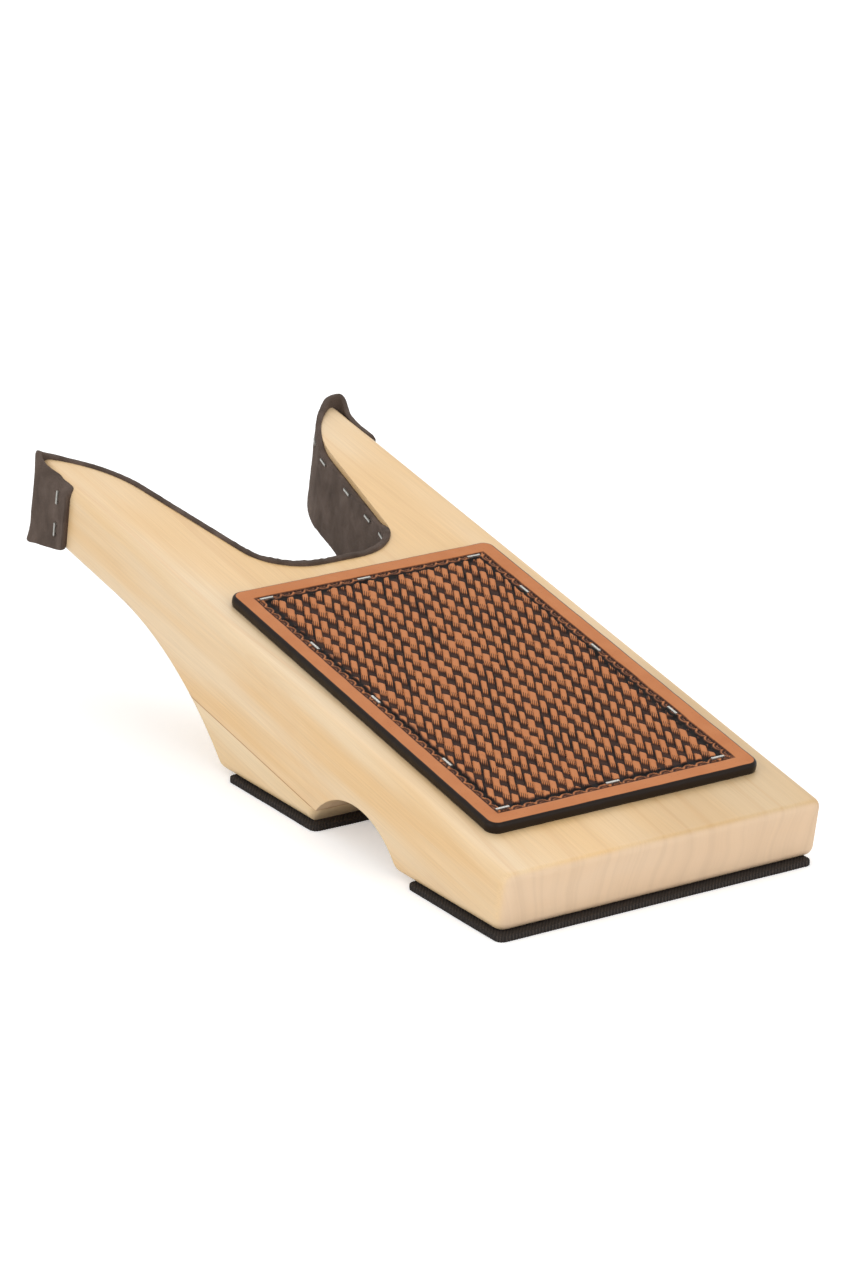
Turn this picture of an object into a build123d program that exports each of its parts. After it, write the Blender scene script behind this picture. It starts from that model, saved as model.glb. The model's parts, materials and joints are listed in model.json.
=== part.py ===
from build123d import *
import os
from math import cos, radians, sin, sqrt, tan

# A wooden boot jack: a sloping board with a forked end that grips a boot's heel, standing on a
# glued riser block and two rubber pads, with a stapled leather tread and a suede-lined jaw.
# Millimetres. +Y runs from the tail that the free foot stands on to the fork, +Z is up and the
# origin is under the middle of the whole jack, on the floor.

os.makedirs("parts", exist_ok=True)

# --- Board and riser, from one width of dressed two-inch softwood -----------------------------
board_length = 324.0        # along the slope, from the tail end to the fork tips
board_width = 133.5
board_thickness = 38.1
board_tilt = 10.6           # degrees, rising to the fork
tail_height = 23.8          # floor to the top edge of the tail end
arm_thickness = 27.0        # what is left of the board above the hollow under the arms
hollow_radius = 132.0       # the sweep from the arms down to the riser's toe
hollow_ahead = 49.0         # where the sweep meets the arms, ahead of the throat
arch_radius = 34.1          # the sawn arch between the two feet
arch_drop = 16.0            # the arch's centre below the floor
tail_edge_radius = 3.0
side_edge_radius = 4.5
under_edge_radius = 3.5
toe_radius = 6.0

# --- Heel jaw, seen square to the board's top face --------------------------------------------
jaw_depth = 111.0           # from the fork tips back to the throat
throat_flat = 16.0          # straight stretch across the bottom of the jaw
throat_radius = 24.0
jaw_lean = 10.5             # degrees that each side leans out towards the tips
flare_length = 34.0         # the last stretch, where the sides curve out to the tips
tip_flat = 4.0              # blunt end of each tip
tip_inner_radius = 5.0
tip_outer_radius = 2.0

# --- Suede jaw lining -------------------------------------------------------------------------
lining_thickness = 2.2
lining_height = 34.0
lining_proud = 0.6          # how far the lining's top edge stands above the board
tip_peak = 3.2              # how far it stands above the board round the tips
tip_peak_run = 9.0          # the stretch over which it rises to that
flap_length = 25.0          # wrapped back along the outside of each tip
flap_end_depth = 25.8       # the flap's lower corner, below the board's top face
flap_top_gap = 0.8          # the flap's upper edge, below the board's top face

# --- Leather tread ----------------------------------------------------------------------------
tread_thickness = 4.0
tread_side_margin = 10.25
tread_tail_margin = 24.5
tread_throat_gap = 12.3
tread_corner_radius = 4.5
tread_edge_radius = 1.5
tooled_border = 7.0         # smooth rim around the tooled panel

# --- Foam-rubber foot pads, cut by hand and stuck on a little out of square --------------------
pad_thickness = 2.0
pad_corner_radius = 3.0
pad_width = 131.0
pad_shift = -2.8            # sideways
tail_pad_overhang = 3.4     # beyond the tail end
tail_pad_arch_gap = 7.9     # short of the arch
riser_pad_overhang = 5.6    # into the arch
riser_pad_toe_gap = 8.4     # short of the toe

# --- Fine-wire staples ------------------------------------------------------------------------
crown_length = 5.4
wire_width = 0.9
wire_thickness = 0.6
staple_length = 8.0         # from the crown's outer face to the leg ends
crown_proud = 0.25
staple_clearance = 0.05     # between the wire and what it is driven through
tread_staple_inset = 1.9    # the staples' line inside the tooled panel's edge
head_row = (-0.92, -0.08, 0.89)     # shares of the panel's half width
tail_row = (-0.94, -0.02, 0.88)
left_row = (-0.565, 0.01, 0.52)     # shares of its half length
right_row = (-0.56, 0.04, 0.62)
jaw_staple_depth = 4.5      # below the board's top face
jaw_staple_places = (0.09, 0.28, 0.385, 0.54, 0.72, 0.84, 0.95)   # shares of throat to tip
flap_staple_setback = 6.0   # from the flap's end edge
flap_staple_drops = (6.0, 19.5)

TOUCH = 0.01                # how near two places count as the same one

# --- Lines and planes that follow from those sizes --------------------------------------------
tilt_cos = cos(radians(board_tilt))
tilt_sin = sin(radians(board_tilt))
throat = board_length - jaw_depth
flare_start = board_length - flare_length
hollow_start = throat + hollow_ahead

# Behind the origin and ahead of it, the jack reaches equally far.
rear_reach = tail_edge_radius * (tilt_cos + tilt_sin - 1)
lined_tip = board_length + lining_thickness
front_reach = lined_tip * tilt_cos + (lining_height - lining_proud) * tilt_sin
tail_y = -(rear_reach + front_reach) / 2

top_plane = Plane(origin=(0, tail_y, tail_height), x_dir=(1, 0, 0), z_dir=(0, -tilt_sin, tilt_cos))
slope_side = Plane(origin=(0, tail_y, tail_height), x_dir=(0, tilt_cos, tilt_sin), z_dir=(1, 0, 0))
floor_side = Plane(origin=(0, 0, 0), x_dir=(0, 1, 0), z_dir=(1, 0, 0))

# Where the hollow under the arms reaches the pads' level, and the arch midway behind it.
hollow_depth = arm_thickness + hollow_radius
hollow_y = tail_y + hollow_start * tilt_cos + hollow_depth * tilt_sin
hollow_z = tail_height + hollow_start * tilt_sin - hollow_depth * tilt_cos
toe_y = hollow_y - sqrt(hollow_radius**2 - (pad_thickness - hollow_z) ** 2)
tail_foot_y = tail_y + (tail_height - pad_thickness) * tilt_sin / tilt_cos
arch_y = (tail_foot_y + toe_y) / 2
arch_half_span = sqrt(arch_radius**2 - (pad_thickness + arch_drop) ** 2)

flap_end = board_length - flap_length
lining_foot = lining_height - lining_proud

tread_width = board_width - 2 * tread_side_margin
tread_length = throat - tread_tail_margin - tread_throat_gap
tread_middle = tread_tail_margin + tread_length / 2


# --- Shapes that more than one piece needs ----------------------------------------------------
def jaw_side():
    """Draw one side of the jaw, from the middle of the throat to the tip's inner corner."""
    side_angle = 90 - jaw_lean
    bottom = Line((0, throat), (throat_flat / 2, throat))
    corner = JernArc(bottom @ 1, (1, 0), throat_radius, side_angle)
    rise = flare_start - (corner @ 1).Y
    straight = PolarLine(corner @ 1, rise, side_angle, length_mode=LengthMode.VERTICAL)
    return TangentArc(straight @ 1, (board_width / 2 - tip_flat, board_length), tangent=straight % 1)


def board_outline(outline):
    """Draw the board seen square to its top face, with the jaw cut and the tips rounded."""
    Rectangle(board_width, board_length, align=(Align.CENTER, Align.MIN))
    with BuildLine() as jaw:
        flare = jaw_side()
        Line(flare @ 1, (0, board_length))
        mirror(about=Plane.YZ)
    make_face(jaw.edges(), mode=Mode.SUBTRACT)
    tip_corners = outline.vertices().group_by(Axis.Y)[-1].sort_by(Axis.X)
    fillet([tip_corners[0], tip_corners[-1]], tip_outer_radius)
    # The inner rounding stops short of the outer one, however far the flare turns.
    half_turn = radians((flare % 1).get_angle(Vector(1, 0)) / 2)
    room = 0.95 * (tip_flat - tip_outer_radius)
    tip_corners = outline.vertices().group_by(Axis.Y)[-1].sort_by(Axis.X)
    fillet(tip_corners[1:3], min(tip_inner_radius, room / tan(half_turn)))


def cut_underside():
    """Cut what is below the pads' tops, the arch, and the hollow under the arms."""
    with BuildSketch(floor_side) as below:
        with Locations((arch_y, -arch_drop)):
            Circle(arch_radius)
        with Locations((0, pad_thickness)):
            Rectangle(3 * board_length, board_length, align=(Align.CENTER, Align.MAX))
    extrude(below.sketch, amount=board_width, both=True, mode=Mode.SUBTRACT)
    with BuildSketch(slope_side) as hollow:
        with Locations((hollow_start, -hollow_depth)):
            Circle(hollow_radius)
        with Locations((hollow_start, -arm_thickness)):
            Rectangle(board_length, hollow_radius, align=(Align.MIN, Align.MAX))
    extrude(hollow.sketch, amount=board_width, both=True, mode=Mode.SUBTRACT)


def drive_staples(places, clearance=0.0, mode=Mode.ADD):
    """Put a staple at each plane: the crown along its x, the legs down its -z.

    With Mode.SUBTRACT and a clearance it cuts the slots that the staples are driven into.
    """
    leg_spread = (crown_length - wire_width) / 2
    wide = wire_width + 2 * clearance
    from_top = (Align.CENTER, Align.CENTER, Align.MAX)
    with Locations(*places):
        with Locations((0, 0, crown_proud)):
            Box(crown_length + 2 * clearance, wide, wire_thickness, align=from_top, mode=mode)
        with Locations((-leg_spread, 0, crown_proud), (leg_spread, 0, crown_proud)):
            Box(wide, wide, staple_length + clearance, align=from_top, mode=mode)


def save(piece, name):
    """Label a finished piece and write its file."""
    piece.part.label = name
    export_step(piece.part, f"parts/{name}.step")


# --- Where the staples go ---------------------------------------------------------------------
def tread_staple(across, along, crown_dir):
    """Give the plane of a staple on the tread, with its crown along crown_dir."""
    spot = top_plane.from_local_coords(Vector(across, along, tread_thickness))
    return Plane(origin=spot, x_dir=crown_dir, z_dir=top_plane.z_dir)


def cross_staples(shares, along):
    """Give the planes of a row of staples across the tread."""
    return [tread_staple(share * panel_across, along, top_plane.x_dir) for share in shares]


def side_staples(shares, across):
    """Give the planes of a row of staples up one side of the tread."""
    places = [tread_middle + share * panel_along for share in shares]
    return [tread_staple(across, along, top_plane.y_dir) for along in places]


panel_across = tread_width / 2 - tooled_border
panel_along = tread_length / 2 - tooled_border
staple_across = panel_across - tread_staple_inset
staple_along = panel_along - tread_staple_inset

head_places = cross_staples(head_row, tread_middle + staple_along)
tail_places = cross_staples(tail_row, tread_middle - staple_along)
left_places = side_staples(left_row, -staple_across)
right_places = side_staples(right_row, staple_across)

with BuildLine() as jaw_line:
    jaw_side()
jaw_wall = jaw_line.wire()


def jaw_staple(place, side):
    """Give the plane of a staple in the jaw's wall: side is 1 for the right and -1 for the left."""
    along = jaw_wall % place
    inward = Vector(-along.Y, along.X)
    spot = jaw_wall @ place + inward * lining_thickness
    origin = top_plane.from_local_coords(Vector(side * spot.X, spot.Y, -jaw_staple_depth))
    crown_dir = top_plane.x_dir * (side * along.X) + top_plane.y_dir * along.Y
    outward_dir = top_plane.x_dir * (side * inward.X) + top_plane.y_dir * inward.Y
    return Plane(origin=origin, x_dir=crown_dir, z_dir=outward_dir)


def flap_staple(drop, side):
    """Give the plane of an upright staple in the flap outside a tip."""
    across = side * (board_width / 2 + lining_thickness)
    along = flap_end + flap_staple_setback
    origin = top_plane.from_local_coords(Vector(across, along, -drop))
    return Plane(origin=origin, x_dir=top_plane.z_dir, z_dir=top_plane.x_dir * side)


jaw_right_places = [jaw_staple(place, 1) for place in jaw_staple_places]
jaw_left_places = [jaw_staple(place, -1) for place in jaw_staple_places]
flap_right_places = [flap_staple(drop, 1) for drop in flap_staple_drops]
flap_left_places = [flap_staple(drop, -1) for drop in flap_staple_drops]
tread_places = head_places + tail_places + left_places + right_places
lining_places = jaw_right_places + jaw_left_places + flap_right_places + flap_left_places

# --- Wood -------------------------------------------------------------------------------------
def side_edges(piece, lowest, highest, furthest_back=0.0):
    """Give a piece's edges on its two long sides, between two heights on the slope."""
    def chosen(edge):
        place = slope_side.to_local_coords(edge.center())
        on_side = abs(abs(edge.center().X) - board_width / 2) < TOUCH
        return on_side and lowest < place.Y < highest and place.X > furthest_back
    return piece.edges().filter_by(chosen)


def floor_edges(piece):
    """Give a piece's long edges at the level of the pads' tops."""
    def chosen(edge):
        on_side = abs(abs(edge.center().X) - board_width / 2) < TOUCH
        return on_side and abs(edge.center().Z - pad_thickness) < TOUCH
    return piece.edges().filter_by(chosen)


with BuildPart() as top_board:
    with BuildSketch(slope_side) as profile:
        Rectangle(board_length, board_thickness, align=(Align.MIN, Align.MAX))
        fillet(profile.vertices().group_by(Axis.X)[0].sort_by(Axis.Y)[-1], tail_edge_radius)
    extrude(amount=board_width / 2, both=True)
    cut_underside()
    fillet(side_edges(top_board, -TOUCH, TOUCH), side_edge_radius)
    fillet(side_edges(top_board, TOUCH - board_thickness, TOUCH - arm_thickness, throat), under_edge_radius)
    fillet(floor_edges(top_board), under_edge_radius)
    with BuildSketch(top_plane) as plan:
        board_outline(plan)
    extrude(amount=board_length, both=True, mode=Mode.INTERSECT)
    drive_staples(tread_places + lining_places, staple_clearance, Mode.SUBTRACT)
save(top_board, "top_board")

# The riser is glued under the board, from the arch to the toe, and is sawn along with it.
with BuildPart() as riser_block:
    with BuildSketch(slope_side):
        with Locations((hollow_start, -board_thickness)):
            Rectangle(hollow_start - (arch_y - tail_y), board_length / 2, align=(Align.MAX, Align.MAX))
    extrude(amount=board_width / 2, both=True)
    cut_underside()
    fillet(riser_block.edges().filter_by(Axis.X).group_by(Axis.Z)[0].sort_by(Axis.Y)[-1], toe_radius)
    fillet(side_edges(riser_block, -board_length, -board_thickness - TOUCH), under_edge_radius)
    with BuildSketch(top_plane) as riser_plan:
        board_outline(riser_plan)
    extrude(amount=board_length, both=True, mode=Mode.INTERSECT)
save(riser_block, "riser_block")

# --- Leather tread: a flat slab, as its tooling is only surface deep ----------------------------
with BuildPart() as tread_leather:
    with BuildSketch(top_plane):
        with Locations((0, tread_middle)):
            RectangleRounded(tread_width, tread_length, tread_corner_radius)
    extrude(amount=tread_thickness)
    upper_face = tread_leather.faces().sort_by(Axis(top_plane.origin, top_plane.z_dir))[-1]
    fillet(upper_face.edges(), tread_edge_radius)
    drive_staples(tread_places, staple_clearance, Mode.SUBTRACT)
save(tread_leather, "tread_leather")

# --- Suede lining: one strip from flap to flap, against the wood all the way --------------------
with BuildSketch(top_plane) as wood:
    board_outline(wood)

with BuildPart() as jaw_lining:
    with BuildSketch(top_plane) as strip:
        board_outline(strip)
        offset(amount=lining_thickness)
        add(wood.sketch_local, mode=Mode.SUBTRACT)
        Rectangle(board_width, 2 * lining_thickness, align=(Align.CENTER, Align.MAX), mode=Mode.SUBTRACT)
        for side, edge_align in ((-1, Align.MAX), (1, Align.MIN)):
            with Locations((side * board_width / 2, flap_end)):
                Rectangle(board_width, 2 * board_length, align=(edge_align, Align.MAX), mode=Mode.SUBTRACT)
    extrude(amount=board_length, both=True)
    with BuildSketch(slope_side):
        with BuildLine():
            Polyline(
                (0, -lining_foot),
                (2 * board_length, -lining_foot),
                (2 * board_length, tip_peak),
                (board_length, tip_peak),
                (board_length - tip_peak_run, lining_proud),
                (0, lining_proud),
                close=True,
            )
        make_face()
    extrude(amount=board_width, both=True, mode=Mode.INTERSECT)
    # Outside the arms the flaps keep below the rounded arris and rise to their end corners.
    for side in (-1, 1):
        with BuildSketch(slope_side.offset(side * board_width / 2)):
            with BuildLine():
                Polyline(
                    (flap_end, -lining_height),
                    (board_length, -lining_foot),
                    (flap_end, -flap_end_depth),
                    close=True,
                )
            make_face()
            with BuildLine():
                Polyline(
                    (0, -flap_top_gap),
                    (board_length - tip_peak_run, -flap_top_gap),
                    (board_length - tip_peak_run, tip_peak),
                    (0, tip_peak),
                    close=True,
                )
            make_face()
        extrude(amount=side * board_width, mode=Mode.SUBTRACT)
    drive_staples(lining_places, staple_clearance, Mode.SUBTRACT)
save(jaw_lining, "jaw_lining")

# --- Foot pads ----------------------------------------------------------------------------------
foot_pads = {
    "tail_foot_pad": (tail_foot_y - tail_pad_overhang, arch_y - arch_half_span - tail_pad_arch_gap),
    "riser_foot_pad": (arch_y + arch_half_span - riser_pad_overhang, toe_y - riser_pad_toe_gap),
}
for name, (back, front) in foot_pads.items():
    with BuildPart() as foot_pad:
        with BuildSketch(Plane.XY):
            with Locations((pad_shift, (back + front) / 2)):
                RectangleRounded(pad_width, front - back, pad_corner_radius)
        extrude(amount=pad_thickness)
    save(foot_pad, name)

# --- Staples: one node for each row or side ------------------------------------------------------
staple_rows = {
    "tread_staples_head": head_places,
    "tread_staples_tail": tail_places,
    "tread_staples_left": left_places,
    "tread_staples_right": right_places,
    "jaw_staples_left": jaw_left_places,
    "jaw_staples_right": jaw_right_places,
    "flap_staples_left": flap_left_places,
    "flap_staples_right": flap_right_places,
}
for name, places in staple_rows.items():
    with BuildPart() as staples:
        drive_staples(places)
    save(staples, name)
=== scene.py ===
# %% [markdown]
# # A wooden boot jack, finished in Blender
#
# A boot jack is a sloping board with a forked end. One foot stands on the leather tread while the
# other boot's heel is pushed into the suede-lined jaw and pulled out. The real one is a single
# plank of pale softwood with a wedge glued under it, two foam-rubber foot pads, a tooled leather
# tread, a strip of suede round the jaw and a few dozen fine wire staples.
#
# The pieces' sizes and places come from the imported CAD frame. This script gives each of them the
# surface that it has on the real object: wood with its grain, leather with stamped relief, suede
# with a nap and a ragged edge, ribbed rubber and drawn wire.

# %% Load the frame
import json
import math
import bpy
import bmesh
import numpy as np
from mathutils import Matrix, Vector


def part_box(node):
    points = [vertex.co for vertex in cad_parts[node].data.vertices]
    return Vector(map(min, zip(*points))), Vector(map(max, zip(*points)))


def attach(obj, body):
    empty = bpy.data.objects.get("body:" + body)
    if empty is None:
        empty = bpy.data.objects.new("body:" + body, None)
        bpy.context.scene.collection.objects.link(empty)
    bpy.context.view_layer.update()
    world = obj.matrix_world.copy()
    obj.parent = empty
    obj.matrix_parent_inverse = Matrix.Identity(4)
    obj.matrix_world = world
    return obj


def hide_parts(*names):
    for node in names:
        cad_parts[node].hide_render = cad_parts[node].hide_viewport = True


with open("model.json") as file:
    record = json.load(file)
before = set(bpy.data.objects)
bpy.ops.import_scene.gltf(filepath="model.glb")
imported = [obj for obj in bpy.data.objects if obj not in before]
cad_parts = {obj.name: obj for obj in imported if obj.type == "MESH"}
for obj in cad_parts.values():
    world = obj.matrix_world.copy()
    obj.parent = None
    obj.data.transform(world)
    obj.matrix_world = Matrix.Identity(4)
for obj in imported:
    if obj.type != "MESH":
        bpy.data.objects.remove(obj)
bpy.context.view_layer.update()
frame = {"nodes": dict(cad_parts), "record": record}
MM = 0.001

# %% [markdown]
# ## The slope
#
# Nearly everything on the jack lies square to its sloping board, so it is easier to think in the
# board's own directions: across it, up the slope from its tail, and up from its top face. The slope
# is read from the record's heel_jaw mount, whose axis stands square to the board. One matrix then
# carries slope coordinates, in millimetres, to the frame's metres.

# %% Slope coordinates
jaw_axis = next(m for m in frame["record"]["mounts"] if m["name"] == "heel_jaw")["axis"]
UP_SLOPE = Vector((0, jaw_axis[2], -jaw_axis[1])).normalized()
OFF_BOARD = Vector(jaw_axis).normalized()
TILT = math.atan2(UP_SLOPE.z, UP_SLOPE.y)


def node_points(node):
    """Give a CAD node's vertices in the frame, in metres."""
    return np.array([v.co for v in frame["nodes"][node].data.vertices])


board_points = node_points("top_board")
top_level = (board_points @ np.array(OFF_BOARD)).max()
tail_end = (board_points @ np.array(UP_SLOPE)).min()
tip_end = (board_points @ np.array(UP_SLOPE)).max()
SLOPE_ORIGIN = OFF_BOARD * top_level + UP_SLOPE * tail_end
SLOPE = Matrix.Translation(SLOPE_ORIGIN) @ Matrix.Rotation(TILT, 4, "X") @ Matrix.Scale(MM, 4)
BOARD_LENGTH = (tip_end - tail_end) / MM
BOARD_WIDTH = (board_points[:, 0].max() - board_points[:, 0].min()) / MM
print(f"slope {math.degrees(TILT):.2f} degrees, board {BOARD_LENGTH:.1f} by {BOARD_WIDTH:.1f} mm")


def slope_points(node):
    """Give a CAD node's vertices in slope coordinates, in millimetres."""
    to_slope = np.array(SLOPE.inverted())
    return node_points(node) @ to_slope[:3, :3].T + to_slope[:3, 3]


def slope_box(node):
    """Give a CAD node's lowest and highest slope coordinates, in millimetres."""
    points = slope_points(node)
    return points.min(0), points.max(0)


# %% [markdown]
# ## Camera
#
# The camera stands low in front of the jack's tail, to its left, and far enough off for a long lens
# that keeps the board's edges nearly parallel. It is placed by the angle it looks from, how far
# away it is and the point it looks at.

# %% Camera
LOOK_AZIMUTH = -32.99
LOOK_DOWN = 19.68
CAMERA_ROLL = -0.3
CAMERA_DISTANCE = 1.8606
LENS_MM = 144.9
SENSOR_MM = 36
FARTHEST_SEEN = 20  # m
aim = Vector((0, -0.01236, 0.04943))

turn, dip = math.radians(LOOK_AZIMUTH), math.radians(LOOK_DOWN)
look = Vector((-math.sin(turn) * math.cos(dip), math.cos(turn) * math.cos(dip), -math.sin(dip)))
camera = bpy.data.objects.new("camera", bpy.data.cameras.new("camera"))
camera.data.lens = LENS_MM
camera.data.sensor_width = SENSOR_MM
camera.data.clip_end = FARTHEST_SEEN
camera.location = aim - look * CAMERA_DISTANCE
camera.rotation_mode = "QUATERNION"
roll = Matrix.Rotation(math.radians(CAMERA_ROLL), 3, look)
camera.rotation_quaternion = (roll @ look.to_track_quat("-Z", "Y").to_matrix()).to_quaternion()
bpy.context.scene.collection.objects.link(camera)
bpy.context.scene.camera = camera
bpy.context.scene.view_settings.view_transform = "Standard"
print("camera at", [round(v, 3) for v in camera.location])

# %% [markdown]
# ## Helpers
#
# Colours are given as sRGB hex values, but shaders work in linear light, so one function turns
# one into the other. Node trees are built with one more function, which adds a node, sets its
# properties and fills its inputs with values, other nodes or one of their outputs. Patterns are
# laid out in millimetres, so a third function gives a material its coordinates in them.


# %% Helpers
SOFT_STEP = {"interpolation_type": "SMOOTHSTEP"}
COLOUR_MIX, NUMBER_MIX = {"data_type": "RGBA"}, {"data_type": "FLOAT"}
COLOUR_A, COLOUR_B = 6, 7  # a Mix node's inputs in colour
NUMBER_A, NUMBER_B = 2, 3  # and in numbers
LINES = {"wave_type": "BANDS", "bands_direction": "X", "wave_profile": "SIN"}
WAVES_PER_MM = math.pi / 10  # the Wave texture's scale that repeats once in a millimetre


def linear(hex_colour):
    """Turn an sRGB hex colour into the linear colour that a shader wants."""
    parts = [int(hex_colour[i : i + 2], 16) / 255 for i in (1, 3, 5)]
    return (*[p / 12.92 if p <= 0.04045 else ((p + 0.055) / 1.055) ** 2.4 for p in parts], 1)


def add(tree, kind, settings=None, inputs=None, stops=None):
    """Add a node, set its properties, link or fill its inputs, and give a ramp its stops."""
    made = tree.nodes.new("ShaderNode" + kind)
    for name, value in (settings or {}).items():
        setattr(made, name, value)
    for key, value in (inputs or {}).items():
        if isinstance(value, bpy.types.Node):
            value = next(socket for socket in value.outputs if socket.enabled)
        if isinstance(value, bpy.types.NodeSocket):
            tree.links.new(value, made.inputs[key])
        else:
            made.inputs[key].default_value = value
    if stops:
        ramp = made.color_ramp
        while len(ramp.elements) < len(stops):
            ramp.elements.new(0.5)
        for element, (place, colour) in zip(ramp.elements, stops):
            element.position = place
            element.color = linear(colour) if isinstance(colour, str) else (colour,) * 3 + (1,)
    return made


def new_material(name):
    """Start a material with an empty tree and return both."""
    material = bpy.data.materials.new(name)
    material.use_nodes = True
    material.node_tree.nodes.clear()
    return material, material.node_tree


def in_millimetres(tree, along_slope=True):
    """Give object coordinates in millimetres, turned to lie along the slope if that is wanted."""
    return add(tree, "Mapping", {}, {
        "Vector": add(tree, "TexCoord").outputs["Object"],
        "Rotation": (-TILT if along_slope else 0, 0, 0),
        "Scale": (1 / MM, 1 / MM, 1 / MM),
    })


def wear(piece, material):
    """Give an object its material."""
    piece.data.materials.clear()
    piece.data.materials.append(material)


def place_object(name, data):
    """Give a mesh or lamp an object in the scene."""
    made = bpy.data.objects.new(name, data)
    bpy.context.scene.collection.objects.link(made)
    return made


# %% [markdown]
# ## Wood
#
# The board is clear-finished softwood, sawn so that its growth rings stand nearly upright in the
# end of the board. That is what decides its look on every face: fine straight lines run along the
# top, broad soft arches drift along the sides, and the end shows upright bands, pinker and duller
# because the finish sinks into the cut pores. One solid texture gives all three, because the
# pattern is made in the wood's own space and the faces only cut through it. The rings are bands of
# distance from the tree's heart, far off to one side, bent by a slow noise so that they wander
# along the board. A second noise, drawn out nearly 70 times along the grain, makes the fibres.
#
# Over that, the wood is a shade deeper towards the right corner of its tail. The glue line is drawn
# in both blocks, and the sawn edges are eased as sandpaper leaves them.


# %% Softwood material
RING_BEND = 26.0
RING_STRENGTH = 0.34
FIBRE_WIDTH, FIBRE_LENGTH = 0.5, 34
GLUE_REACH = 0.32
EDGE_EASING = 0.6


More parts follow.
